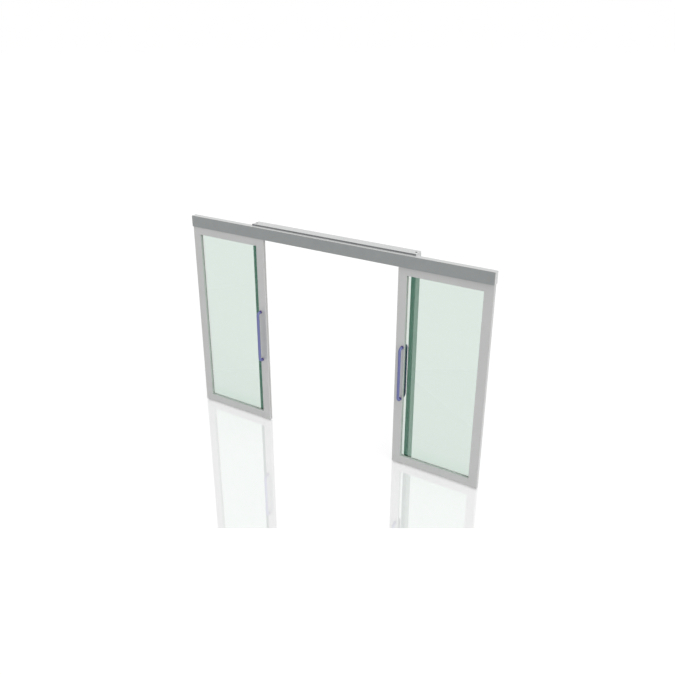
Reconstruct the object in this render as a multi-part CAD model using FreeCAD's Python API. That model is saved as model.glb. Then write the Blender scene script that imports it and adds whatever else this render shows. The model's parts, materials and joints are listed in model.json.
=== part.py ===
"""Surface-hung double sliding door: two framed glass leaves on a header track, in front of a lining frame.

Lengths are millimetres. While it is modelled, x = 0 is the middle of the doorway, y = 0 the front of
the header, z = 0 the floor. The finished pieces are moved so that the origin lies on the middle of the
lining head's top face, with +X to the right seen from the front, +Y through the wall and +Z up.
"""
import FreeCAD, Part
import math
import os

V = FreeCAD.Vector

# Doorway
clear_width = 1770.0          # between the lining jambs
clear_height = 2107.0         # floor to the header's underside
running_gap = 5.0             # between anything that moves and what stands still
floor_gap = 10.0              # under the leaves
touch_gap = 0.3               # between a round part and what it turns on or runs on

# Lining frame
jamb_face = 44.0
frame_wall = 3.0
lining_back = 156.0           # from the header's front to the back of the lining
jamb_seal_depth = 4.0         # dark strip on the front of the right jamb
foot_plate = 4.0
head_face = 42.0
head_rise = 15.0              # head top above the header top
head_nose = 12.5              # how far the head reaches over the header
head_seal_depth = 4.0
end_cap = 2.0
seal_wall = 2.5

# Fixing holes
lintel_hole_radius = 10.5
lintel_hole_from_back = 56.0
wall_hole_radius = 4.5
wall_hole_spacing = 400.0
wall_hole_from_end = 200.0
wall_hole_below_top = 50.0
side_hole_low = 400.0
side_hole_spacing = 1400.0

# Header
header_height = 117.0
cover_plate = 1.5
beam_wall = 4.0
cover_rib = 1.5
cover_rib_drop = 14.0         # hook rib below the header's top
hook_reach = 5.5
hook_rise = 6.0
lip_drop = 8.0                # the beam's front lip that the cover hooks behind
lip_wall = 2.0
lip_setback = 1.0
stiff_rib_height = 26.0
stiff_rib_reach = 3.5
cap_corner = 2.0

# Track
rail_width = 34.0
rail_height = 46.0
rail_wall = 3.0
track_lip = 4.0
track_slot = 13.0
rail_end_gap = 4.0
stop_length = 25.0

# Leaves
leaf_thickness = 40.0
lane_offset = 15.0            # the right leaf runs this much further back than the left one
jamb_overlap = 50.0           # a closed leaf laps over the jamb
meeting_gap = 10.0            # between the two closed leaves
open_stand = 116.0            # an open leaf keeps this much of itself in the doorway
top_engagement = 13.0         # leaf top above the header's underside
stile_width = 90.0
bottom_rail_height = 86.0
top_rail_height = 92.0
profile_wall = 3.0
profile_corner = 1.5
edge_wall = 7.0
pocket_depth = 14.0
pocket_width = 10.0
pocket_setback = 25.0         # leaf front to the glass pocket
glass_thickness = 8.0
glass_bite = 12.0
gasket_show = 1.5
seal_strip_width = 10.0
seal_strip_set = 3.0
seal_strip_proud = 2.0
seal_strip_setback = 15.0

# Floor guide
guide_setback = 18.0          # leaf front to the middle of the guide groove
guide_groove = 9.0
guide_groove_depth = 16.0
guide_fin = 7.0
guide_fin_height = 17.0
guide_length = 40.0
guide_plate = 3.0
guide_stand = 35.0            # jamb to the middle of the fin
guide_upright = 45.0
guide_upright_width = 40.0
guide_upright_setback = 8.0
shoe_height = 22.0

# Trolleys
wheel_radius = 15.0
wheel_width = 7.0
axle_gap = 0.3
axle_radius = 4.0
carriage_length = 60.0
carriage_width = 10.0
carriage_height = 16.0
carriage_wheel_gap = 0.5
hanger_radius = 5.0
hanger_plate = 5.0
hanger_plate_length = 120.0
hanger_plate_width = 30.0
nut_radius = 9.5
nut_height = 8.0
trolley_inset = 148.0

# Pull handles
handle_radius = 14.0
handle_reach = 50.0           # leaf face to the middle of the grip
handle_bend = 32.0            # radius of the bends, along the middle of the bar
handle_bend_runs = 4          # short straight lengths that make up each bend
handle_low = 748.0
handle_spacing = 555.0
handle_inset = 71.0           # closing edge to the middle of the grip

# Worked out from the sizes above
half_clear = clear_width / 2
jamb_outer = half_clear + jamb_face
header_top = clear_height + header_height
head_top = header_top + head_rise
head_low = head_top - head_face
left_lane = cover_plate + running_gap
right_lane = left_lane + lane_offset
header_depth = right_lane + (leaf_thickness + rail_width) / 2 + beam_wall
jamb_front = right_lane + leaf_thickness + running_gap + jamb_seal_depth
head_front = header_depth - head_nose
leaf_width = half_clear + jamb_overlap - meeting_gap / 2
travel = half_clear - open_stand - meeting_gap / 2
closing_tip = half_clear - open_stand
closing_edge = closing_tip + seal_strip_proud
rear_edge = closing_tip + leaf_width
leaf_bottom = floor_gap
leaf_top = clear_height + top_engagement
header_end = rear_edge + running_gap + end_cap
cap_inner = header_end - end_cap
glazing_left = closing_edge + stile_width
glazing_right = rear_edge - stile_width
glazing_low = leaf_bottom + bottom_rail_height
glazing_high = leaf_top - top_rail_height
rail_high = header_top - beam_wall
rail_low = rail_high - rail_height
track_level = rail_low + track_lip
axle_level = track_level + touch_gap + wheel_radius
trolley_near = closing_edge + trolley_inset
trolley_far = rear_edge - trolley_inset
handle_x = closing_tip + handle_inset
guide_x = half_clear - guide_stand
lintel_hole_x = half_clear + jamb_face / 2
origin = V(0, (head_front + lining_back) / 2, head_top)


def box(x, y, z):
    """A block from three (low, high) pairs."""
    return Part.makeBox(x[1] - x[0], y[1] - y[0], z[1] - z[0], V(x[0], y[0], z[0]))


def along_x(points, x):
    """A section of (y, z) points run from one x to another."""
    ring = [V(x[0], y, z) for y, z in points]
    return Part.Face(Part.makePolygon(ring + ring[:1])).extrude(V(x[1] - x[0], 0, 0))


def along_z(points, z):
    """A section of (x, y) points run from one z to another."""
    ring = [V(x, y, z[0]) for x, y in points]
    return Part.Face(Part.makePolygon(ring + ring[:1])).extrude(V(0, 0, z[1] - z[0]))


def rod(start, end, radius):
    """A round bar between two points."""
    run = end - start
    return Part.makeCylinder(radius, run.Length, start, run)


def soften(solid, direction, radius):
    """Round the four outer long edges of a block that runs along one axis."""
    box_of = solid.BoundBox
    length = abs(direction.dot(V(box_of.XLength, box_of.YLength, box_of.ZLength)))
    edges = [e for e in solid.Edges if e.Length > length - 1e-6
             and abs(abs(e.tangentAt(e.FirstParameter).dot(direction)) - 1) < 1e-6]
    return solid.makeFillet(radius, edges)


def save(name, shape):
    """Write a piece, moved into the part's own frame."""
    piece = shape.copy()
    piece.translate(-origin)
    piece.exportStep(os.path.join("parts", name + ".step"))


def save_side(name, side, shape):
    """Pieces are drawn on the right; the left ones are their mirror images."""
    if side == "left":
        shape = shape.mirror(V(0, 0, 0), V(1, 0, 0))
    save(name, shape)


def header_cover():
    """Front plate with a hook rib near the top and a stiffening rib over the leaves."""
    rib_top = header_top - cover_rib_drop
    rib_low = rib_top - cover_rib
    hook = cover_plate + hook_reach
    stiff_low = clear_height + stiff_rib_height
    stiff = cover_plate + stiff_rib_reach
    section = [
        (0, clear_height), (cover_plate, clear_height),
        (cover_plate, stiff_low), (stiff, stiff_low),
        (stiff, stiff_low + cover_rib), (cover_plate, stiff_low + cover_rib),
        (cover_plate, rib_low), (hook, rib_low),
        (hook, rib_top + hook_rise), (hook - cover_rib, rib_top + hook_rise),
        (hook - cover_rib, rib_top), (cover_plate, rib_top),
        (cover_plate, header_top), (0, header_top),
    ]
    return along_x(section, (-cap_inner, cap_inner))


def wall_hole_places():
    """The wall screws of the header's outer ends, seen on the right."""
    outer = cap_inner - wall_hole_from_end
    return outer - wall_hole_spacing, outer


def header_beam():
    """Top wall, back wall and the front lip that holds the cover."""
    front = cover_plate
    lip = front + lip_setback
    back_low = leaf_top + running_gap + beam_wall
    under = header_top - beam_wall
    section = [
        (front, header_top), (front, under), (lip, under),
        (lip, under - lip_drop), (lip + lip_wall, under - lip_drop), (lip + lip_wall, under),
        (header_depth - beam_wall, under), (header_depth - beam_wall, back_low),
        (header_depth, back_low), (header_depth, header_top),
    ]
    beam = along_x(section, (-cap_inner, cap_inner))
    level = header_top - wall_hole_below_top
    for x in wall_hole_places():
        for side in (-1, 1):
            start = V(side * x, header_depth - 2 * beam_wall, level)
            beam = beam.cut(rod(start, start + V(0, 3 * beam_wall, 0), wall_hole_radius))
    return beam


def header_end_cap():
    """Plate over the header's end."""
    plate = box((cap_inner, header_end), (0, header_depth), (clear_height, header_top))
    return soften(plate, V(1, 0, 0), cap_corner)


def track(lane):
    """Channel that hangs from the beam, with two lips for the wheels and a slot for the hangers."""
    middle = lane + leaf_thickness / 2
    half = rail_width / 2
    inner = half - rail_wall
    slot = track_slot / 2
    ceiling = rail_high - rail_wall
    section = [
        (-half, rail_high), (-half, rail_low), (-slot, rail_low), (-slot, track_level),
        (-inner, track_level), (-inner, ceiling), (inner, ceiling), (inner, track_level),
        (slot, track_level), (slot, rail_low), (half, rail_low), (half, rail_high),
    ]
    return along_x([(middle + y, z) for y, z in section], (rail_end_gap, cap_inner))


def track_stops(lane):
    """Blocks in the channel that stop the outer trolley when open and the inner one when closed."""
    middle = lane + leaf_thickness / 2
    half = rail_width / 2 - rail_wall - touch_gap
    reach = carriage_length / 2 + running_gap
    open_stop = trolley_far + reach
    shut_stop = trolley_near - travel - reach
    level = (track_level, rail_high - rail_wall - touch_gap)
    width = (middle - half, middle + half)
    return Part.makeCompound([
        box((open_stop, open_stop + stop_length), width, level),
        box((shut_stop - stop_length, shut_stop), width, level),
    ])


def lining_head():
    """Hollow head with a nose over the header and a hole right through it above each jamb."""
    section = [
        (head_front, head_top), (head_front, header_top), (header_depth, header_top),
        (header_depth, head_low), (lining_back, head_low), (lining_back, head_top),
    ]
    w = frame_wall
    hollow = [
        (head_front + w, head_top - w), (head_front + w, header_top + w),
        (header_depth + w, header_top + w), (header_depth + w, head_low + w),
        (lining_back - w, head_low + w), (lining_back - w, head_top - w),
    ]
    reach = jamb_outer - end_cap
    head = along_x(section, (-reach, reach)).cut(along_x(hollow, (-reach, reach)))
    for side in (-1, 1):
        top = V(side * lintel_hole_x, lining_back - lintel_hole_from_back, head_top + w)
        head = head.cut(rod(top, top - V(0, 0, head_face + 2 * w), lintel_hole_radius))
    return head


def head_end_cap():
    """Plate over the head's end."""
    section = [
        (head_front, head_top), (head_front, header_top), (header_depth, header_top),
        (header_depth, head_low), (lining_back, head_low), (lining_back, head_top),
    ]
    return along_x(section, (jamb_outer - end_cap, jamb_outer))


def head_seal():
    """Dark strip on the front of the nose."""
    return box((-jamb_outer, jamb_outer), (head_front - head_seal_depth, head_front), (header_top, head_top))


def jamb():
    """Hollow upright of the lining, with two anchor holes in its outer wall."""
    w = frame_wall
    outer = box((half_clear, jamb_outer), (jamb_front, lining_back), (foot_plate, head_low))
    outer = soften(outer, V(0, 0, 1), profile_corner)
    inner = box((half_clear + w, jamb_outer - w), (jamb_front + w, lining_back - w), (foot_plate, head_low))
    upright = outer.cut(inner)
    middle = (jamb_front + lining_back) / 2
    for level in (side_hole_low, side_hole_low + side_hole_spacing):
        start = V(jamb_outer - 2 * w, middle, level)
        upright = upright.cut(rod(start, start + V(3 * w, 0, 0), wall_hole_radius))
    return upright


def jamb_foot():
    """Plate under the jamb."""
    return box((half_clear, jamb_outer), (jamb_front, lining_back), (0, foot_plate))


def jamb_seal(lane):
    """Dark profile between the jamb and the back of the leaf that passes it."""
    front = lane + leaf_thickness + running_gap
    strip = box((half_clear, jamb_outer), (front, jamb_front), (0, clear_height))
    w = seal_wall
    if jamb_front - front > 3 * w:
        strip = strip.cut(box((half_clear + w, jamb_outer - w), (front + w, jamb_front - w), (0, clear_height)))
    return strip


def floor_guide(lane):
    """Bracket on the jamb's inner side with a fin that runs in the groove under the leaf."""
    line = lane + guide_setback
    back = jamb_front + guide_upright_setback + guide_upright_width
    low_x = guide_x - guide_length / 2
    plate = box((low_x, half_clear), (line - guide_groove, back), (0, guide_plate))
    upright = box((half_clear - guide_plate, half_clear), (back - guide_upright_width, back), (0, guide_upright))
    fin = box((low_x, low_x + guide_length), (line - guide_fin / 2, line + guide_fin / 2),
              (0, guide_plate + guide_fin_height))
    return plate.fuse([upright, fin]).removeSplitter()


def guide_slot(lane):
    """Space of the guide groove along the whole leaf."""
    line = lane + guide_setback
    return box((closing_edge - 1, rear_edge + 1), (line - guide_groove / 2, line + guide_groove / 2),
               (leaf_bottom - 1, leaf_bottom + guide_groove_depth))


def stile(lane, edge, facing):
    """Hollow upright. edge is its outer side, facing is +1 where the glass lies on the +X side."""
    inner = edge + facing * stile_width
    y0, y1 = lane, lane + leaf_thickness
    w = profile_wall
    outer = box((min(edge, inner), max(edge, inner)), (y0, y1), (leaf_bottom, leaf_top))
    outer = soften(outer, V(0, 0, 1), profile_corner)
    pocket = inner - facing * pocket_depth
    start = edge + facing * edge_wall
    cavity = [
        (start, y0 + w), (inner - facing * w, y0 + w),
        (inner - facing * w, y0 + pocket_setback - w), (pocket - facing * w, y0 + pocket_setback - w),
        (pocket - facing * w, y1 - w), (start, y1 - w),
    ]
    reach = (leaf_bottom - 1, leaf_top + 1)
    groove = [(pocket, y0 + pocket_setback), (inner + facing, y0 + pocket_setback),
              (inner + facing, y0 + pocket_setback + pocket_width), (pocket, y0 + pocket_setback + pocket_width)]
    return outer.cut([along_z(cavity, reach), along_z(groove, reach), guide_slot(lane)])


def seal_groove(lane):
    """Where the closing seal sits in the closing stile."""
    y0 = lane + seal_strip_setback
    return box((closing_edge - 1, closing_edge + seal_strip_set), (y0, y0 + seal_strip_width),
               (leaf_bottom + shoe_height, leaf_top + 1))


def closing_seal(lane):
    """Soft strip along the edge that meets the other leaf."""
    y0 = lane + seal_strip_setback
    strip = box((closing_tip, closing_edge + seal_strip_set), (y0, y0 + seal_strip_width),
                (leaf_bottom + shoe_height, leaf_top))
    tips = [e for e in strip.Edges if e.BoundBox.ZLength > leaf_top / 2 and e.BoundBox.XMax < closing_edge]
    return strip.makeFillet(seal_strip_proud * 0.9, tips)


def cross_rail(lane, outer_level, inner_level, low_web):
    """Hollow rail between the stiles. Its glass pocket opens at inner_level."""
    up = 1 if inner_level > outer_level else -1
    y0, y1 = lane, lane + leaf_thickness
    w = profile_wall
    span = (glazing_left, glazing_right)
    outer = box(span, (y0, y1), (min(outer_level, inner_level), max(outer_level, inner_level)))
    outer = soften(outer, V(1, 0, 0), profile_corner)
    pocket = inner_level - up * pocket_depth
    start = outer_level + up * low_web
    cavity = [
        (y0 + w, start), (y0 + w, inner_level - up * w),
        (y0 + pocket_setback - w, inner_level - up * w), (y0 + pocket_setback - w, pocket - up * w),
        (y1 - w, pocket - up * w), (y1 - w, start),
    ]
    groove = [(y0 + pocket_setback, pocket), (y0 + pocket_setback, inner_level + up),
              (y0 + pocket_setback + pocket_width, inner_level + up), (y0 + pocket_setback + pocket_width, pocket)]
    reach = (span[0] - 1, span[1] + 1)
    return outer.cut([along_x(cavity, reach), along_x(groove, reach)])


def bottom_rail(lane):
    rail = cross_rail(lane, leaf_bottom, glazing_low, guide_groove_depth + profile_wall)
    return rail.cut(guide_slot(lane))


def top_rail(lane):
    return cross_rail(lane, leaf_top, glazing_high, profile_wall)


def glass(lane):
    """Pane held in the pockets on all four sides."""
    y0 = lane + pocket_setback + (pocket_width - glass_thickness) / 2
    return box((glazing_left - glass_bite, glazing_right + glass_bite), (y0, y0 + glass_thickness),
               (glazing_low - glass_bite, glazing_high + glass_bite))


def gasket(lane):
    """Channel rubber round the pane, that shows as a narrow line at the frame."""
    y0 = lane + pocket_setback
    y = (y0, y0 + pocket_width)
    outer = box((glazing_left - pocket_depth, glazing_right + pocket_depth), y,
                (glazing_low - pocket_depth, glazing_high + pocket_depth))
    sight = box((glazing_left + gasket_show, glazing_right - gasket_show), (y[0] - 1, y[1] + 1),
                (glazing_low + gasket_show, glazing_high - gasket_show))
    return outer.cut([sight, glass(lane)])


def guide_shoes(lane):
    """Blocks in the feet of the stiles, grooved for the floor guide."""
    y = (lane + profile_wall, lane + leaf_thickness - profile_wall)
    z = (leaf_bottom, leaf_bottom + shoe_height)
    inset = pocket_depth + profile_wall
    blocks = [
        box((closing_edge + edge_wall, glazing_left - inset), y, z),
        box((glazing_right + inset, rear_edge - edge_wall), y, z),
    ]
    return Part.makeCompound([b.cut(guide_slot(lane)) for b in blocks])


def wheelset(place):
    """Two track wheels on their axle, turned about one line."""
    inner = carriage_width / 2 + carriage_wheel_gap
    outer = inner + wheel_width
    section = [
        (0, -outer), (wheel_radius, -outer), (wheel_radius, -inner), (axle_radius, -inner),
        (axle_radius, inner), (wheel_radius, inner), (wheel_radius, outer), (0, outer),
    ]
    ring = [place + V(0, y, r) for r, y in section]
    return Part.Face(Part.makePolygon(ring + ring[:1])).revolve(place, V(0, 1, 0), 360)


def trolley(lane, x):
    """Two-wheel carriage with its hanger bolt, nut and plate on top of the leaf."""
    middle = lane + leaf_thickness / 2
    half = carriage_width / 2
    body = box((x - carriage_length / 2, x + carriage_length / 2), (middle - half, middle + half),
               (axle_level - carriage_height / 2, axle_level + carriage_height / 2))
    axle = V(x, middle, axle_level)
    across = V(0, carriage_width, 0)
    bore = rod(axle - across, axle + across, axle_radius + axle_gap)
    hanger = rod(V(x, middle, leaf_top), V(x, middle, axle_level), hanger_radius)
    plate = box((x - hanger_plate_length / 2, x + hanger_plate_length / 2),
                (middle - hanger_plate_width / 2, middle + hanger_plate_width / 2),
                (leaf_top, leaf_top + hanger_plate))
    ring = [V(x + nut_radius * math.cos(math.radians(a)), middle + nut_radius * math.sin(math.radians(a)),
              leaf_top + hanger_plate) for a in range(0, 420, 60)]
    nut = Part.Face(Part.makePolygon(ring)).extrude(V(0, 0, nut_height))
    frame = body.fuse([hanger, plate, nut]).removeSplitter().cut(bore)
    return [frame, wheelset(axle)]


def trolleys(lane):
    """The leaf hangs from one trolley near each end."""
    return Part.makeCompound(trolley(lane, trolley_near) + trolley(lane, trolley_far))


def bend_points(centre, start, finish):
    """Points along a quarter turn about centre, from its one arm to its other."""
    turns = [math.radians(90 * k / handle_bend_runs) for k in range(handle_bend_runs + 1)]
    return [centre + start * math.cos(a) + finish * math.sin(a) for a in turns]


def handle(face, out):
    """Round pull bar bent back to the leaf at both ends. out is -1 towards the front, +1 to the back."""
    low, high = handle_low, handle_low + handle_spacing
    near = face + out * (handle_reach - handle_bend)
    away, up = V(0, out * handle_bend, 0), V(0, 0, handle_bend)
    path = [V(handle_x, face, low)]
    path += bend_points(V(handle_x, near, low) + up, -up, away)
    path += bend_points(V(handle_x, near, high) - up, away, up)
    path.append(V(handle_x, face, high))
    ring = Part.Wire(Part.makeCircle(handle_radius, path[0], V(0, out, 0)))
    mitred = 1
    return Part.makePolygon(path).makePipeShell([ring], True, False, mitred)


def build_leaf(side, lane):
    """All the pieces of one leaf."""
    pieces = {
        "closing_stile": stile(lane, closing_edge, 1).cut(seal_groove(lane)),
        "rear_stile": stile(lane, rear_edge, -1),
        "top_rail": top_rail(lane),
        "bottom_rail": bottom_rail(lane),
        "glass": glass(lane),
        "glazing_gasket": gasket(lane),
        "closing_seal": closing_seal(lane),
        "guide_shoes": guide_shoes(lane),
        "front_handle": handle(lane, -1),
        "back_handle": handle(lane + leaf_thickness, 1),
        "trolleys": trolleys(lane),
    }
    for name, shape in pieces.items():
        save_side(side + "_" + name, side, shape)


def build_frame():
    """Header, tracks, lining and floor guides."""
    save("header_cover", header_cover())
    save("header_beam", header_beam())
    save("lining_head", lining_head())
    save("head_seal", head_seal())
    for side, lane in (("left", left_lane), ("right", right_lane)):
        save_side(side + "_header_end_cap", side, header_end_cap())
        save_side(side + "_track", side, track(lane))
        save_side(side + "_track_stops", side, track_stops(lane))
        save_side(side + "_head_end_cap", side, head_end_cap())
        save_side(side + "_jamb", side, jamb())
        save_side(side + "_jamb_foot", side, jamb_foot())
        save_side(side + "_jamb_seal", side, jamb_seal(lane))
        save_side(side + "_floor_guide", side, floor_guide(lane))


os.makedirs("parts", exist_ok=True)
build_frame()
build_leaf("left", left_lane)
build_leaf("right", right_lane)
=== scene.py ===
"""Looks of the double sliding glass door: materials, small trim, floor, light and camera."""

import json
import math
import random

import bmesh
import bpy
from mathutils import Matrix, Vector


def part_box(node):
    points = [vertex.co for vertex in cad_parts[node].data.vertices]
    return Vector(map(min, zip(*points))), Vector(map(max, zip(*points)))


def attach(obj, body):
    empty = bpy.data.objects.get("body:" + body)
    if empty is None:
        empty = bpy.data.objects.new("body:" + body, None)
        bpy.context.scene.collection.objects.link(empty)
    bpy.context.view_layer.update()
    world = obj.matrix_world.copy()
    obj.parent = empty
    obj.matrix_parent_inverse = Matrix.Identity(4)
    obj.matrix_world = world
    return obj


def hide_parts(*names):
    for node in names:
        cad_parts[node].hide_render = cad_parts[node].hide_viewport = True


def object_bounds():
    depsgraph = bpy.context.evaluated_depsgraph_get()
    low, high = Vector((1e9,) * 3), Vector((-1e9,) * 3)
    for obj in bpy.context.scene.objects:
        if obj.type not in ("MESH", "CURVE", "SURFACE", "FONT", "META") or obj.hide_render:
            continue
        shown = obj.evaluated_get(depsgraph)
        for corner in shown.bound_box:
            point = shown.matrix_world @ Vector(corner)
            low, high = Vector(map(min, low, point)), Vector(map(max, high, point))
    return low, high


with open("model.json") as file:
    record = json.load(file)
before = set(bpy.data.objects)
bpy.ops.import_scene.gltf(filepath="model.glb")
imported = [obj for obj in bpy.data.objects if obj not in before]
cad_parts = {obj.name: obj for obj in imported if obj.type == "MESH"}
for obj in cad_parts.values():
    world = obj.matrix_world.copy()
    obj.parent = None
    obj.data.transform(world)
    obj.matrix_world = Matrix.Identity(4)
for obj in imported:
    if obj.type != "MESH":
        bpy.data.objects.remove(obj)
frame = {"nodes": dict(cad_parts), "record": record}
cad_low, cad_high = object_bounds()
nodes = frame["nodes"]
floor_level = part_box("left_jamb_foot")[0].z

# A millimetre in metres, the two sides with their sign along x, and the directions
MM = 0.001
SIDES = {"left_": -1, "right_": 1}
RIGHT = Vector((1, 0, 0))
BACK = Vector((0, 1, 0))
UP = Vector((0, 0, 1))

# Camera: the photograph's viewpoint, in metres from the part's origin, with angles in degrees
CAMERA_AZIMUTH = 32.3
CAMERA_ELEVATION = 24.3
CAMERA_PLACE = Vector((3.802, -5.917, 2.110))
CAMERA_LENS = 40.32
SENSOR = 36.0

# Colours, as they look on the screen from 0 to 1
WHITE = (1.0, 1.0, 1.0)
LEAF_GREY = (0.714, 0.717, 0.714)
FRAME_GREY = (0.735, 0.738, 0.738)
HEADER_GREY = (0.530, 0.542, 0.542)
JAMB_SHADE_GREY = (0.53, 0.54, 0.53)
# painted shade: the jambs' darker copy of the frame's grey stands in for the shade they lie in behind the
# leaves
STRIP_GREY = (0.455, 0.46, 0.465)
PROFILE_GREY = (0.405, 0.395, 0.395)
# painted shade: the dust cups' near black stands in for the shade inside the lining's holes
PLUG_SHADE_BLACK = (0.03, 0.03, 0.03)
# glazing beads: partly their own colour, partly painted shade of the recess in front of the panes
BEAD_SHADE_GREY = (0.60, 0.635, 0.61)
RUBBER_GREY = (0.24, 0.30, 0.26)
SEAL_GREY = (0.60, 0.60, 0.595)
PILE_GREY = (0.40, 0.395, 0.395)
BLACK = (0.10, 0.10, 0.10)
ZINC = (0.72, 0.72, 0.70)
HANDLE_BLUE = (0.36, 0.38, 0.568)
# painted shade: the collars' dark violet stands in for the shade at the handles' legs
COLLAR_SHADE_VIOLET = (0.22, 0.16, 0.38)
GLASS_CLEAR = (0.843, 0.880, 0.856)
GLASS_SHINE = (0.58, 1.0, 0.84)

# Grained surfaces. Grain and clouds are noise, each a scale per metre and a detail. The grain shows in
# gloss and relief. The clouds show in tone, from the darkest to the lightest share of the colour. The
# spread is that of the roughness about its middle. The relief is a strength and a height in metres.
ANODISED = {
    "grain": (1400.0, 2.0), "clouds": (5.0, 4.0), "tones": (0.955, 1.045),
    "roughness": 0.42, "spread": (-0.06, 0.06), "metallic": 0.35, "relief": (0.12, 0.00003),
}
PAINTED = {
    "grain": (900.0, 2.0), "clouds": (14.0, 3.0), "tones": (0.93, 1.07),
    "roughness": 0.38, "spread": (-0.05, 0.07), "metallic": 0.0, "relief": (0.25, 0.00004),
}
MOULDED = {
    "grain": (2200.0, 2.0), "clouds": (25.0, 4.0), "tones": (0.85, 1.2),
    "roughness": 0.7, "spread": (-0.08, 0.08), "metallic": 0.0, "relief": (0.3, 0.00004),
}
PLATED = {
    "grain": (160.0, 5.0), "clouds": (160.0, 5.0), "tones": (0.85, 1.1),
    "roughness": 0.37, "spread": (-0.09, 0.09), "metallic": 0.9, "relief": (0.1, 0.00003),
}
SCALE_ALONG_RUN = 3.0
PLUG_SHINE = 0.1

# Glass: faint waves in its tone, and the shares of red, green and blue that its foot lets through as
# painted shade of the floor's shadow seen through it
GLASS_WAVES = (1.6, 1.6, 1.1)
GLASS_WAVE_DETAIL = 1.0
GLASS_TONES = (0.99, 1.01)
GLASS_FOOT_SHADE_SHARES = (0.93, 0.97, 0.95)
GLASS_FOOT_SHADE_HEIGHT = 0.17
GLASS_IOR = 1.75

# Light: sky and lamps, at a level at which a front face looks about as its colour is written
SKY_LIGHT = 0.5
KEY_FROM = (0.56, -0.20, 0.40)
KEY_LIGHT = 2.26
TOP_LIGHT = 1.32
LAMP_SPREAD = 60.0

# Floor: reach, and the polished sheet's edges as the camera looks, in metres from the origin
FLOOR_REACH = 60.0
SHEET_HALF = 5.0
SHEET_NEAR = -1.557
SHEET_FAR = 1.6
FLOOR_PALE = 0.80
FLOOR_SHADE = 0.22
FLOOR_MOTTLE = 0.01
FLOOR_MARKS = (3.0, 3.0)
FLOOR_GLOW = 0.76
MIRROR_SHARE = 0.36
MIRROR_ROUGHNESS = 0.02

# Points round a small, a middling and a large circle
SMALL_COUNT = 24
MIDDLE_COUNT = 32
LARGE_COUNT = 40

# Handles
HANDLE_BEND = 32 * MM
BEND_STEPS = 16
GRUB_FROM_FACE = 9 * MM
GRUB_FROM_MIDDLE = 15.2 * MM

# End plates and their screws
CAP_CHAMFER = 0.5 * MM
CAP_CORNER = 2 * MM
CORNER_STEPS = 6
CAP_SCREW_INSET = 9 * MM
HEAD_SCREW_INSET = 12 * MM
SINK_RADIUS = 4 * MM
SINK_DEPTH = 1.8 * MM

# Floor guides' screws
GUIDE_SHEET = 3 * MM
GUIDE_SCREWS_FROM_BACK = (10 * MM, 30 * MM)
GUIDE_SCREWS_FROM_BEND = 28 * MM

# Brush pile: rows of three-sided tufts, with angles in radians
PILE_CLEAR = 0.5 * MM
PILE_INSET = 2 * MM
PILE_ROOT = 0.8 * MM
PILE_MARGIN = 4 * MM
PILE_ROWS = 3
PILE_ROW_GAP = 2.2 * MM
PILE_PITCH = 2.4 * MM
PILE_STAGGER = 0.33
PILE_LEAN = (0.5 * MM, 0.7 * MM)
PILE_SHORTER = 0.4 * MM
TUFT_RADII = (0.95 * MM, 0.45 * MM)
TUFT_ANGLES = (0.5, 2.6, 4.7)
PILE_SEED = 7

# Half sections of turned pieces, in millimetres: radius, height and whether the ring is round or six-sided
ROUND = False
SIX_SIDED = True
FLUSH_SCREW = (
    (2.0, -1.7, ROUND), (3.7, -0.2, ROUND), (3.5, -0.06, ROUND), (1.7, -0.06, SIX_SIDED),
    (1.7, -1.2, SIX_SIDED),
)
DOMED_SCREW = (
    (6.3, 0.0, ROUND), (6.3, 0.6, ROUND), (6.03, 0.8, ROUND), (4.5, 0.8, ROUND),
    (4.365, 1.575, ROUND), (3.51, 2.7, ROUND), (2.25, 3.06, ROUND), (1.89, 3.06, SIX_SIDED),
    (1.89, 1.125, SIX_SIDED),
)
GRUB_SCREW = (
    (2.4, -0.6, ROUND), (2.4, 0.3, ROUND), (2.1, 0.5, ROUND), (1.3, 0.5, SIX_SIDED),
    (1.3, -0.4, SIX_SIDED),
)
ANCHOR_SCREW = (
    (3.9, 0.5, ROUND), (4.35, 0.9, ROUND), (4.35, 2.6, ROUND), (4.1, 2.9, ROUND),
    (2.3, 2.9, SIX_SIDED), (2.3, 1.2, SIX_SIDED),
)
COLLAR = (
    (13.8, 0.0, ROUND), (16.6, 0.0, ROUND), (16.6, 1.6, ROUND), (16.0, 2.2, ROUND),
    (15.5, 3.0, ROUND), (15.3, 15.6, ROUND), (15.0, 16.6, ROUND), (14.4, 17.0, ROUND),
    (13.8, 17.0, ROUND),
)
DUST_CUP = (
    (9.4, -10.0, ROUND), (9.8, -9.6, ROUND), (11.1, -4.4, ROUND), (10.4, -3.1, ROUND),
    (10.4, -0.4, ROUND), (10.15, -0.12, ROUND), (9.7, -0.12, ROUND), (9.3, -0.5, ROUND),
    (8.6, -8.4, ROUND), (8.0, -8.8, ROUND),
)

# Sections that run along a piece, in millimetres: the bead's by depth and thickness, the pile's by x and y
BEAD_SECTION = ((2.0, 0.0), (2.5, 0.9), (8.0, 1.3), (21.0, 2.2), (23.5, 2.6), (24.6, 2.2), (24.6, 0.0))
PILE_BACKING = ((-5.0, 0.0), (-5.0, -0.7), (-4.0, -0.9), (4.0, -0.9), (5.0, -0.7), (5.0, 0.0))


def linear(colour):
    """Screen colour to the linear values that shaders take."""
    return [c / 12.92 if c <= 0.04045 else ((c + 0.055) / 1.055) ** 2.4 for c in colour] + [1.0]


def shaded(colour, share):
    """A linear colour made darker or lighter by a share."""
    return [min(1.0, c * share) for c in colour[:3]] + [1.0]


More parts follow.
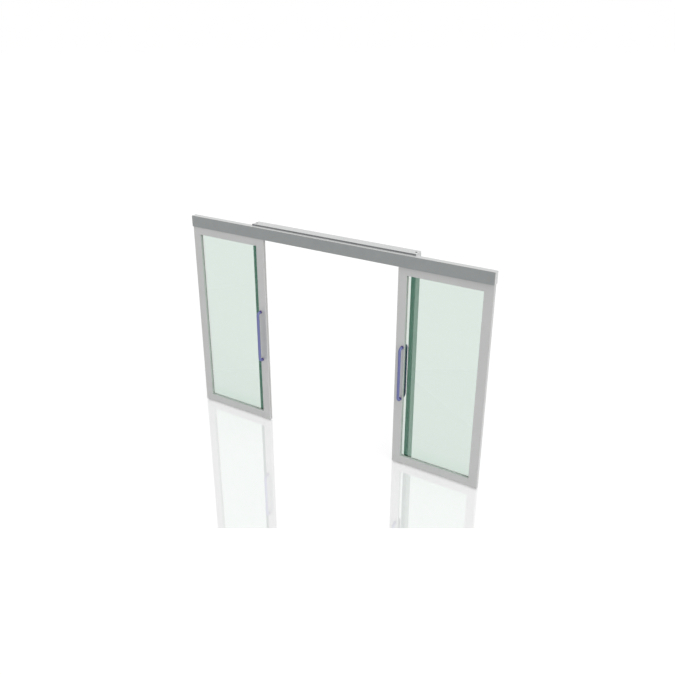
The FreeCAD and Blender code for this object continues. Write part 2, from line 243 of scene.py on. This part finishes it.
class Tree:
    """A material's node tree, with short ways to add nodes."""

    def __init__(self, name):
        self.material = bpy.data.materials.new(name)
        self.material.use_nodes = True
        self.nodes = self.material.node_tree.nodes
        self.links = self.material.node_tree.links
        self.shader = self.nodes["Principled BSDF"]
        self.output = self.nodes["Material Output"]

    def add(self, kind, **inputs):
        """A node of a kind, with values for its named inputs."""
        node = self.nodes.new(kind)
        for key, value in inputs.items():
            node.inputs[key.replace("_", " ")].default_value = value
        return node

    def link(self, start, end):
        self.links.new(start, end)

    def noise(self, scale, detail):
        """Noise on the piece itself, with its scale per metre along each axis."""
        place = self.add("ShaderNodeTexCoord")
        mapping = self.add("ShaderNodeMapping", Scale=scale)
        self.link(place.outputs["Object"], mapping.inputs["Vector"])
        node = self.add("ShaderNodeTexNoise", Scale=1.0, Detail=detail, Roughness=0.5)
        self.link(mapping.outputs["Vector"], node.inputs["Vector"])
        return node.outputs["Fac"]

    def ranged(self, value, low, high):
        """A value from 0 to 1 spread from low to high."""
        node = self.add("ShaderNodeMapRange", To_Min=low, To_Max=high)
        self.link(value, node.inputs["Value"])
        return node.outputs["Result"]

    def mixer(self, blend):
        """A colour mixer, with its two colour inputs and its colour output."""
        node = self.add("ShaderNodeMix", Factor=1.0)
        node.data_type = "RGBA"
        node.blend_type = blend
        first, second = [socket for socket in node.inputs if socket.type == "RGBA"]
        result = next(socket for socket in node.outputs if socket.type == "RGBA")
        return node, first, second, result

    def between(self, value, dark, light):
        """A colour between two, by value."""
        node, first, second, result = self.mixer("MIX")
        self.link(value, node.inputs["Factor"])
        first.default_value = dark
        second.default_value = light
        return result

    def multiplied(self, one, other):
        """Two colours multiplied."""
        _, first, second, result = self.mixer("MULTIPLY")
        self.link(one, first)
        self.link(other, second)
        return result

    def bump(self, height, strength, distance):
        """Relief on the shader, from a height."""
        node = self.add("ShaderNodeBump", Strength=strength, Distance=distance)
        self.link(height, node.inputs["Height"])
        self.link(node.outputs["Normal"], self.shader.inputs["Normal"])


def grained(name, colour, kind, roughness=None, run=None, shine=None):
    """A material of one of the grained kinds. Its grain is drawn out along the run where it has one."""
    tree = Tree(name)
    scale, detail = kind["grain"]
    scales = [scale] * 3
    if run is not None:
        scales["xyz".index(run)] = SCALE_ALONG_RUN
    grain = tree.noise(scales, detail)
    scale, detail = kind["clouds"]
    clouds = tree.noise([scale] * 3, detail)
    dark, light = [shaded(linear(colour), share) for share in kind["tones"]]
    tree.link(tree.between(clouds, dark, light), tree.shader.inputs["Base Color"])
    middle = kind["roughness"] if roughness is None else roughness
    low, high = [middle + offset for offset in kind["spread"]]
    tree.link(tree.ranged(grain, low, high), tree.shader.inputs["Roughness"])
    tree.shader.inputs["Metallic"].default_value = kind["metallic"]
    if shine is not None:
        tree.shader.inputs["Specular IOR Level"].default_value = shine
    tree.bump(grain, *kind["relief"])
    return tree.material


def anodised(name, colour, run):
    """Satin anodised extrusion: faint draw lines along the run, slight cloudiness."""
    return grained(name, colour, ANODISED, run=run)


def painted(name, colour, roughness=None):
    """Powder coat: fine orange peel and a slight mottle."""
    return grained(name, colour, PAINTED, roughness)


def moulded(name, colour, roughness=None, shine=None):
    """Matt rubber or moulded plastic with a fine grain and a little bloom."""
    return grained(name, colour, MOULDED, roughness, shine=shine)


def plated(name, colour):
    """Plated steel with a grainy sheen."""
    return grained(name, colour, PLATED)


def green_glass(name):
    """Clear float glass that shines green, with painted shade that deepens its tone towards its foot.
    Lamps shine through it.
    """
    tree = Tree(name)
    waves = tree.noise(GLASS_WAVES, GLASS_WAVE_DETAIL)
    dark, light = [shaded(linear(GLASS_CLEAR), share) for share in GLASS_TONES]
    even = tree.between(waves, dark, light)
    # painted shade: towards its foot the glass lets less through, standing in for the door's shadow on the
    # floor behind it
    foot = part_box("left_glass")[0].z
    place = tree.add("ShaderNodeTexCoord")
    level = tree.add("ShaderNodeSeparateXYZ")
    tree.link(place.outputs["Object"], level.inputs["Vector"])
    rise = tree.add("ShaderNodeMapRange", From_Min=foot, From_Max=foot + GLASS_FOOT_SHADE_HEIGHT)
    tree.link(level.outputs["Z"], rise.inputs["Value"])
    painted_foot_shade = tree.between(rise.outputs["Result"], [*GLASS_FOOT_SHADE_SHARES, 1.0], [*WHITE, 1.0])
    tree.link(tree.multiplied(even, painted_foot_shade), tree.shader.inputs["Base Color"])
    tree.shader.inputs["Roughness"].default_value = 0.0
    tree.shader.inputs["IOR"].default_value = GLASS_IOR
    tree.shader.inputs["Specular Tint"].default_value = linear(GLASS_SHINE)
    tree.shader.inputs["Transmission Weight"].default_value = 1.0
    path = tree.add("ShaderNodeLightPath")
    clear = tree.add("ShaderNodeBsdfTransparent", Color=linear(GLASS_CLEAR))
    mix = tree.add("ShaderNodeMixShader")
    tree.link(path.outputs["Is Shadow Ray"], mix.inputs["Fac"])
    tree.link(tree.shader.outputs["BSDF"], mix.inputs[1])
    tree.link(clear.outputs["BSDF"], mix.inputs[2])
    tree.link(mix.outputs["Shader"], tree.output.inputs["Surface"])
    return tree.material


def make_finishes():
    """The material of every node of the frame, by the node's name."""
    leaf_upright = anodised("leaf_upright", LEAF_GREY, "z")
    leaf_level = anodised("leaf_level", LEAF_GREY, "x")
    frame_upright = anodised("frame_upright", FRAME_GREY, "z")
    frame_level = anodised("frame_level", FRAME_GREY, "x")
    # painted shade: the jambs are the frame's aluminium in a darker grey for the shade behind the leaves
    jamb_shaded_upright = anodised("jamb_shaded_upright", JAMB_SHADE_GREY, "z")
    header = painted("header_paint", HEADER_GREY)
    strip = moulded("dark_strip", STRIP_GREY, roughness=0.6)
    profile = moulded("dark_profile", PROFILE_GREY, roughness=0.6)
    rubber = moulded("dark_rubber", RUBBER_GREY)
    seal = moulded("grey_seal", SEAL_GREY)
    plastic = moulded("black_plastic", BLACK, roughness=0.5)
    steel = plated("zinc_steel", ZINC)
    glass = green_glass("green_glass")
    blue = painted("blue_powder_coat", HANDLE_BLUE, roughness=0.3)
    finishes = {
        "header_cover": header, "header_beam": frame_level, "lining_head": frame_level,
        "head_seal": strip,
    }
    for side_name in SIDES:
        finishes.update({
            side_name + "header_end_cap": frame_upright, side_name + "head_end_cap": frame_upright,
            side_name + "track": frame_level, side_name + "track_stops": plastic,
            side_name + "jamb": jamb_shaded_upright, side_name + "jamb_foot": steel,
            side_name + "jamb_seal": profile, side_name + "floor_guide": steel,
            side_name + "closing_stile": leaf_upright, side_name + "rear_stile": leaf_upright,
            side_name + "top_rail": leaf_level, side_name + "bottom_rail": leaf_level,
            side_name + "glass": glass, side_name + "glazing_gasket": rubber,
            side_name + "closing_seal": seal, side_name + "guide_shoes": plastic,
            side_name + "front_handle": blue, side_name + "back_handle": blue,
            side_name + "trolleys": steel,
        })
    return finishes


def dress(finishes):
    """Give every node of the frame its material."""
    for name, node in nodes.items():
        node.data.materials.clear()
        node.data.materials.append(finishes[name])


def add_piece(name, mesh, material, body):
    """A finished piece, riding on its body."""
    mesh.materials.append(material)
    piece = bpy.data.objects.new(name, mesh)
    bpy.context.scene.collection.objects.link(piece)
    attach(piece, body)
    return piece


class Shape:
    """Points and faces of a piece while it is put together."""

    def __init__(self):
        self.points = []
        self.faces = []

    def skin(self, rings, looped=False):
        """Faces between rings of equally many points, with closed ends, or joined ends where looped."""
        first, count = len(self.points), len(rings[0])
        for ring in rings:
            self.points += ring
        starts = [first + r * count for r in range(len(rings))]
        pairs = list(zip(starts, starts[1:]))
        if looped:
            pairs.append((starts[-1], starts[0]))
        for a, b in pairs:
            for i in range(count):
                j = (i + 1) % count
                self.faces.append((a + i, a + j, b + j, b + i))
        if not looped:
            self.faces.append(tuple(range(starts[0], starts[0] + count)))
            self.faces.append(tuple(range(starts[-1], starts[-1] + count)))

    def turned(self, place, out, section, count=MIDDLE_COUNT, looped=False):
        """A half section in millimetres turned about an axis."""
        across, over = square_to(out)
        rings = []
        for radius, height, six_sided in section:
            ring = []
            for k in range(count):
                angle = 2 * math.pi * k / count
                reach = radius * MM * (six_sided_share(angle) if six_sided else 1.0)
                around = across * math.cos(angle) + over * math.sin(angle)
                ring.append(place + around * reach + out * height * MM)
            rings.append(ring)
        self.skin(rings, looped)

    def made(self, name, body, slot, material, smooth=35.0):
        """The piece itself, with edges sharp where its faces turn by more than the smooth angle."""
        mesh = bpy.data.meshes.new(name)
        mesh.from_pydata([tuple(p) for p in self.points], [], self.faces)
        bm = bmesh.new()
        bm.from_mesh(mesh)
        bmesh.ops.recalc_face_normals(bm, faces=bm.faces)
        bm.to_mesh(mesh)
        bm.free()
        mesh.shade_smooth()
        mesh.set_sharp_from_angle(angle=math.radians(smooth))
        return add_piece(name, mesh, material, body)


def square_to(axis):
    """Two directions square to an axis and to each other."""
    across = axis.cross(UP if abs(axis.z) < 0.9 else RIGHT).normalized()
    return across, axis.cross(across)


def six_sided_share(angle):
    """How far a hexagon reaches at an angle, as a share of the radius of its corners."""
    return math.cos(math.pi / 6) / math.cos(angle % (math.pi / 3) - math.pi / 6)


def circle(count, radius):
    """Points of a circle about (0, 0)."""
    angles = [2 * math.pi * k / count for k in range(count)]
    return [(radius * math.cos(angle), radius * math.sin(angle)) for angle in angles]


def inset(outline, by):
    """An outline of (y, z) points moved inwards by a distance."""
    moved = []
    for k, here in enumerate(outline):
        before, after = outline[k - 1], outline[(k + 1) % len(outline)]
        first, second = (here - before).normalized(), (after - here).normalized()
        left_of_first = Vector((-first.y, first.x))
        left_of_second = Vector((-second.y, second.x))
        share = by / (1 + left_of_first.dot(left_of_second))
        moved.append(here + (left_of_first + left_of_second) * share)
    return moved


def rounded(low, high, radius):
    """A rectangle's outline with round corners, going round to the left."""
    left, right = low[0] + radius, high[0] - radius
    bottom, top = low[1] + radius, high[1] - radius
    outline = []
    for k, (y, z) in enumerate([(right, bottom), (right, top), (left, top), (left, bottom)]):
        for n in range(CORNER_STEPS + 1):
            angle = (k - 1 + n / CORNER_STEPS) * math.pi / 2
            outline.append(Vector((y + radius * math.cos(angle), z + radius * math.sin(angle))))
    return outline


def sunk_mesh(name, outline, sinks, inner, outer):
    """Plate across x with a chamfered outer face and countersinks."""
    side = 1 if outer > inner else -1
    bm = bmesh.new()

    def ring(points, x):
        return [bm.verts.new((x, y, z)) for y, z in points]

    def wall(first, second):
        for k in range(len(first)):
            n = (k + 1) % len(first)
            bm.faces.new((first[k], first[n], second[n], second[k]))

    def edges_round(points):
        return [bm.edges.get((points[k - 1], points[k])) for k in range(len(points))]

    back, shoulder = ring(outline, inner), ring(outline, outer - side * CAP_CHAMFER)
    face = ring(inset(outline, CAP_CHAMFER), outer)
    bm.faces.new(back)
    wall(back, shoulder)
    wall(shoulder, face)
    borders = edges_round(face)
    wide = circle(SMALL_COUNT, SINK_RADIUS)
    narrow = circle(SMALL_COUNT, SINK_RADIUS - SINK_DEPTH)
    for y, z in sinks:
        mouth = ring([(y + a, z + b) for a, b in wide], outer)
        bottom = ring([(y + a, z + b) for a, b in narrow], outer - side * SINK_DEPTH)
        wall(mouth, bottom)
        bm.faces.new(bottom)
        borders += edges_round(mouth)
    bmesh.ops.triangle_fill(bm, use_beauty=True, edges=borders)
    bmesh.ops.recalc_face_normals(bm, faces=bm.faces)
    mesh = bpy.data.meshes.new(name)
    bm.to_mesh(mesh)
    bm.free()
    return mesh


def end_plate(node, side, outline, sinks, screws, material):
    """Plate in place of a CAD end cap, with a flush screw in each countersink."""
    low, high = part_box(node)
    inner, outer = (low.x, high.x) if side > 0 else (high.x, low.x)
    mesh = sunk_mesh(node + "_plate", outline, sinks, inner, outer)
    plate = add_piece(node + "_plate", mesh, material, "frame")
    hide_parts(node)
    for y, z in sinks:
        screws.turned(Vector((outer, y, z)), RIGHT * side, FLUSH_SCREW, count=SMALL_COUNT)


def header_end_plate(node, side, screws, material):
    """Plate with round corners over one end of the header."""
    low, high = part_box(node)
    outline = rounded((low.y, low.z), (high.y, high.z), CAP_CORNER)
    across = (low.y + CAP_SCREW_INSET, high.y - CAP_SCREW_INSET)
    levels = (low.z + CAP_SCREW_INSET, high.z - CAP_SCREW_INSET)
    sinks = [(y, z) for y in across for z in levels]
    end_plate(node, side, outline, sinks, screws, material)


def head_end_plate(node, side, screws, material):
    """Plate over one end of the lining's head, stepped where the head's nose lies on the header."""
    low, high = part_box(node)
    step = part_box("header_beam")[1]
    outline = [Vector(corner) for corner in (
        (low.y, step.z), (step.y, step.z), (step.y, low.z), (high.y, low.z), (high.y, high.z),
        (low.y, high.z))]
    middle = (low.z + high.z) / 2
    sinks = [(step.y + HEAD_SCREW_INSET, middle), (high.y - HEAD_SCREW_INSET, middle)]
    end_plate(node, side, outline, sinks, screws, material)


def end_plates(finish, screw_finish):
    """Chamfered plates with flush screws over the ends of the header and of the lining's head."""
    for side_name, side in SIDES.items():
        screws = Shape()
        header_end_plate(side_name + "header_end_cap", side, screws, finish)
        head_end_plate(side_name + "head_end_cap", side, screws, finish)
        screws.made(side_name + "end_screws", "frame", "zinc_steel", screw_finish)


def handle_line(foot, out, span, reach):
    """Middle line of a pull handle, with its direction at each point."""
    low, high = foot, foot + UP * span
    near = out * (reach - HANDLE_BEND)
    line = [(low, out)]
    turns = [math.pi / 2 * k / BEND_STEPS for k in range(BEND_STEPS + 1)]
    for angle in turns:
        c, s = math.cos(angle), math.sin(angle)
        line.append((low + near + (UP * (1 - c) + out * s) * HANDLE_BEND, out * c + UP * s))
    for angle in turns:
        c, s = math.cos(angle), math.sin(angle)
        line.append((high + near + (out * c - UP * (1 - s)) * HANDLE_BEND, UP * c - out * s))
    line.append((high, -out))
    return line


def pull_handle(node, body, out, finish, collar_shade_finish, screw_finish):
    """Round bar with true bends, each leg in a dark collar with a grub screw. The collar's dark violet is
    painted shade of the legs.
    """
    low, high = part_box(node)
    radius = (high.x - low.x) / 2
    span = high.z - low.z - 2 * radius
    reach = high.y - low.y - radius
    face = high.y if out.y < 0 else low.y
    foot = Vector(((low.x + high.x) / 2, face, low.z + radius))
    bar, collars, grubs = Shape(), Shape(), Shape()
    rings = []
    for place, ahead in handle_line(foot, out, span, reach):
        over = ahead.cross(RIGHT)
        rings.append([place + RIGHT * a + over * b for a, b in circle(LARGE_COUNT, radius)])
    bar.skin(rings)
    piece = bar.made(node + "_bar", body, "blue_powder_coat", finish, smooth=50.0)
    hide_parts(node)
    for leg in (foot, foot + UP * span):
        collars.turned(leg, out, COLLAR, count=LARGE_COUNT, looped=True)
        below = leg + out * GRUB_FROM_FACE - UP * GRUB_FROM_MIDDLE
        grubs.turned(below, -UP, GRUB_SCREW, count=SMALL_COUNT)
    collars.made(node + "_collars", body, "blue_powder_coat", collar_shade_finish)
    grubs.made(node + "_grub_screws", body, "zinc_steel", screw_finish)


def pull_handles(finish, collar_shade_finish, screw_finish):
    """A pull handle on each face of each leaf."""
    for side_name in SIDES:
        for face_name, out in (("front_handle", -BACK), ("back_handle", BACK)):
            node, body = side_name + face_name, side_name + "leaf"
            pull_handle(node, body, out, finish, collar_shade_finish, screw_finish)


def hole_places(mount_name, along):
    """Middles of the two holes of one of the record's bolt patterns."""
    mount = next(m for m in frame["record"]["mounts"] if m["name"] == mount_name)
    spacing = next(size for key, size in mount["dims"].items() if key.startswith("spacing")) * MM
    return [Vector(mount["pos_m"]) + along * end * spacing / 2 for end in (-1, 1)]


def hole_plugs(finish):
    """Snap-in dust cups in the two holes of the lining's head, near black as painted shade of the holes'
    insides.
    """
    plugs = Shape()
    for place in hole_places("lintel_bolts", RIGHT):
        place.z = cad_high.z
        plugs.turned(place, UP, DUST_CUP, count=LARGE_COUNT)
    plugs.made("lintel_hole_plugs", "frame", "black_plastic", finish)


def anchor_ends(finish):
    """Socket screws that fill the wall holes of the header and the side holes of the jambs."""
    for side_name, side in SIDES.items():
        ends = Shape()
        for place in hole_places(side_name + "header_wall_bolts", RIGHT):
            place.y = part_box("header_beam")[1].y
            ends.turned(place, -BACK, ANCHOR_SCREW)
        low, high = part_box(side_name + "jamb")
        for place in hole_places(side_name + "jamb_anchors", UP):
            place.x = high.x if side > 0 else low.x
            ends.turned(place, RIGHT * -side, ANCHOR_SCREW)
        ends.made(side_name + "anchor_screws", "frame", "zinc_steel", finish)


def add_tuft(pile, draw, root, tip):
    """One tuft of the pile, from its root to a tip that leans and falls a little short."""
    triangle = [Vector((math.cos(angle), 0, math.sin(angle))) for angle in TUFT_ANGLES]
    wide, narrow = TUFT_RADII
    lean_x, lean_z = PILE_LEAN
    lean = Vector((draw.uniform(-lean_x, lean_x), 0, draw.uniform(-lean_z, lean_z)))
    end = tip + lean + BACK * draw.uniform(0.0, PILE_SHORTER)
    pile.skin([[root + t * wide for t in triangle], [end + t * narrow for t in triangle]])


def brush_piles(finish):
    """Pile on each dark profile that stands just clear of the passing leaf's back."""
    draw = random.Random(PILE_SEED)
    for side_name in SIDES:
        low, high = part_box(side_name + "jamb_seal")
        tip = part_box(side_name + "rear_stile")[1].y + PILE_CLEAR
        middle = (low.x + high.x) / 2
        pile = Shape()
        backing = [Vector((middle + a * MM, low.y + b * MM, 0)) for a, b in PILE_BACKING]
        pile.skin([[p + UP * z for p in backing] for z in (low.z + PILE_INSET, high.z - PILE_INSET)])
        for n in range(int((high.z - low.z - 2 * PILE_MARGIN) / PILE_PITCH)):
            for row in range(PILE_ROWS):
                x = middle + (row - (PILE_ROWS - 1) / 2) * PILE_ROW_GAP
                z = low.z + PILE_MARGIN + (n + PILE_STAGGER * row) * PILE_PITCH
                add_tuft(pile, draw, Vector((x, low.y - PILE_ROOT, z)), Vector((x, tip, z)))
        pile.made(side_name + "jamb_brush", "frame", "dark_rubber", finish, smooth=20.0)


def guide_screws(finish):
    """Button heads that hold each floor guide to the floor and to the jamb."""
    for side_name, side in SIDES.items():
        low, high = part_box(side_name + "floor_guide")
        inner = high.x - GUIDE_SHEET if side > 0 else low.x + GUIDE_SHEET
        screws = Shape()
        for from_back in GUIDE_SCREWS_FROM_BACK:
            y = high.y - from_back
            on_jamb = Vector((inner, y, low.z + GUIDE_SCREWS_FROM_BEND))
            on_floor = Vector((inner - side * GUIDE_SCREWS_FROM_BEND, y, low.z + GUIDE_SHEET))
            screws.turned(on_jamb, RIGHT * -side, DOMED_SCREW, count=SMALL_COUNT)
            screws.turned(on_floor, UP, DOMED_SCREW, count=SMALL_COUNT)
        screws.made(side_name + "floor_guide_screws", "frame", "zinc_steel", finish)


def glazing_beads(finish):
    """Soft profile that lines the recess in front of each pane, its green-grey partly the bead's own
    colour and partly painted shade of the recess.
    """
    for side_name in SIDES:
        stiles = [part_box(side_name + "closing_stile"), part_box(side_name + "rear_stile")]
        stiles.sort(key=lambda corners: corners[0].x)
        left, right = stiles[0][1].x, stiles[1][0].x
        low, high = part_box(side_name + "bottom_rail")[1].z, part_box(side_name + "top_rail")[0].z
        front = stiles[0][0].y
        rings = []
        for depth, thickness in BEAD_SECTION:
            y, t = front + depth * MM, thickness * MM
            rings.append([Vector((left + t, y, low + t)), Vector((right - t, y, low + t)),
                          Vector((right - t, y, high - t)), Vector((left + t, y, high - t))])
        bead = Shape()
        bead.skin(rings, looped=True)
        bead.made(side_name + "shaded_glazing_bead", side_name + "leaf", "grey_seal", finish)


def add_details(finishes):
    """Everything that is added to the CAD nodes."""
    steel = finishes["left_jamb_foot"]
    # painted shade: the collar's dark violet stands in for the shade at the handles' legs
    collar = painted("collar_shade_violet", COLLAR_SHADE_VIOLET, roughness=0.45)
    end_plates(finishes["left_header_end_cap"], steel)
    pull_handles(finishes["left_front_handle"], collar, steel)
    # painted shade: the dust cups are near black for the shade inside the holes
    hole_plugs(moulded("plug_shade_black", PLUG_SHADE_BLACK, roughness=0.9, shine=PLUG_SHINE))
    anchor_ends(steel)
    brush_piles(moulded("brush_pile", PILE_GREY, roughness=0.85))
    guide_screws(steel)
    # the beads' green-grey is partly painted shade of the recess in front of each pane
    glazing_beads(moulded("shaded_glazing_bead", BEAD_SHADE_GREY))


def seen_rays(tree):
    """1 for rays of the camera and for those that gloss and glass send on, 0 for light on surfaces."""
    path = tree.nodes.new("ShaderNodeLightPath")
    rays = path.outputs["Is Camera Ray"]
    for name in ("Is Glossy Ray", "Is Transmission Ray"):
        either = tree.nodes.new("ShaderNodeMath")
        either.operation = "MAXIMUM"
        tree.links.new(rays, either.inputs[0])
        tree.links.new(path.outputs[name], either.inputs[1])
        rays = either.outputs[0]
    return rays


def floor_finish(name, mirror_share):
    """Pale floor that looks white where it isn't in shadow, with a faint mirror where polished."""
    tree = Tree(name)
    scale, detail = FLOOR_MARKS
    marks = tree.noise([scale] * 3, detail)
    white = linear(WHITE)
    dark, light = [shaded(white, FLOOR_SHADE + d) for d in (-FLOOR_MOTTLE, FLOOR_MOTTLE)]
    lit = tree.add("ShaderNodeBsdfDiffuse")
    tree.link(tree.between(marks, dark, light), lit.inputs["Color"])
    glow = tree.add("ShaderNodeEmission", Strength=FLOOR_GLOW)
    look = tree.add("ShaderNodeAddShader")
    tree.link(lit.outputs["BSDF"], look.inputs[0])
    tree.link(glow.outputs["Emission"], look.inputs[1])
    if mirror_share:
        mirror = tree.add("ShaderNodeBsdfGlossy", Color=white, Roughness=MIRROR_ROUGHNESS)
        polished = tree.add("ShaderNodeMixShader", Fac=mirror_share)
        tree.link(look.outputs[0], polished.inputs[1])
        tree.link(mirror.outputs["BSDF"], polished.inputs[2])
        look = polished
    plain = tree.add("ShaderNodeBsdfDiffuse", Color=(FLOOR_PALE, FLOOR_PALE, FLOOR_PALE, 1.0))
    seen = tree.add("ShaderNodeMixShader")
    tree.link(seen_rays(tree), seen.inputs["Fac"])
    tree.link(plain.outputs["BSDF"], seen.inputs[1])
    tree.link(look.outputs[0], seen.inputs[2])
    tree.link(seen.outputs["Shader"], tree.output.inputs["Surface"])
    return tree.material


def make_floor():
    """Wide pale floor round a polished sheet that lies square to the camera's view."""
    turn = math.radians(CAMERA_AZIMUTH)
    right = Vector((math.cos(turn), math.sin(turn), 0))
    ahead = UP.cross(right)
    across = [-FLOOR_REACH, -SHEET_HALF, SHEET_HALF, FLOOR_REACH]
    along = [-FLOOR_REACH, SHEET_NEAR, SHEET_FAR, FLOOR_REACH]
    corners = [right * a + ahead * b + UP * floor_level for b in along for a in across]
    row = len(across)
    starts = [row * b + a for b in range(row - 1) for a in range(row - 1)]
    faces = [(s, s + 1, s + row + 1, s + row) for s in starts]
    mesh = bpy.data.meshes.new("floor")
    mesh.from_pydata(corners, [], faces)
    mesh.materials.append(floor_finish("floor", 0.0))
    mesh.materials.append(floor_finish("polished_floor", MIRROR_SHARE))
    sheet = len(faces) // 2
    mesh.polygons[sheet].material_index = 1
    floor = bpy.data.objects.new("floor", mesh)
    bpy.context.scene.collection.objects.link(floor)


def make_world():
    """White surroundings for camera, gloss and glass, and a soft even light for the rest."""
    world = bpy.data.worlds.new("studio")
    bpy.context.scene.world = world
    world.use_nodes = True
    tree = world.node_tree
    tree.nodes.clear()
    skies = []
    for strength in (SKY_LIGHT, 1.0):
        sky = tree.nodes.new("ShaderNodeBackground")
        sky.inputs["Strength"].default_value = strength
        sky.inputs["Color"].default_value = (*WHITE, 1.0)
        skies.append(sky)
    mix = tree.nodes.new("ShaderNodeMixShader")
    out = tree.nodes.new("ShaderNodeOutputWorld")
    tree.links.new(seen_rays(tree), mix.inputs["Fac"])
    tree.links.new(skies[0].outputs["Background"], mix.inputs[1])
    tree.links.new(skies[1].outputs["Background"], mix.inputs[2])
    tree.links.new(mix.outputs["Shader"], out.inputs["Surface"])


def make_sun(name, towards_light, strength):
    """A soft distant lamp."""
    lamp = bpy.data.lights.new(name, "SUN")
    lamp.energy = strength
    lamp.angle = math.radians(LAMP_SPREAD)
    sun = bpy.data.objects.new(name, lamp)
    sun.rotation_mode = "QUATERNION"
    sun.rotation_quaternion = Vector(towards_light).to_track_quat("Z", "Y")
    bpy.context.scene.collection.objects.link(sun)


def make_camera():
    """The photograph's view."""
    data = bpy.data.cameras.new("camera")
    data.lens = CAMERA_LENS
    data.sensor_width = SENSOR
    camera = bpy.data.objects.new("camera", data)
    bpy.context.scene.collection.objects.link(camera)
    azimuth, elevation = math.radians(CAMERA_AZIMUTH), math.radians(CAMERA_ELEVATION)
    level = math.cos(elevation)
    back = Vector((math.sin(azimuth) * level, -math.cos(azimuth) * level, math.sin(elevation)))
    camera.rotation_mode = "QUATERNION"
    camera.rotation_quaternion = back.to_track_quat("Z", "Y")
    camera.location = CAMERA_PLACE
    bpy.context.scene.camera = camera


make_camera()
make_world()
make_sun("key", KEY_FROM, KEY_LIGHT)
make_sun("overhead", UP, TOP_LIGHT)
make_floor()
node_finishes = make_finishes()
dress(node_finishes)
add_details(node_finishes)
bpy.context.scene.view_settings.view_transform = "Standard"
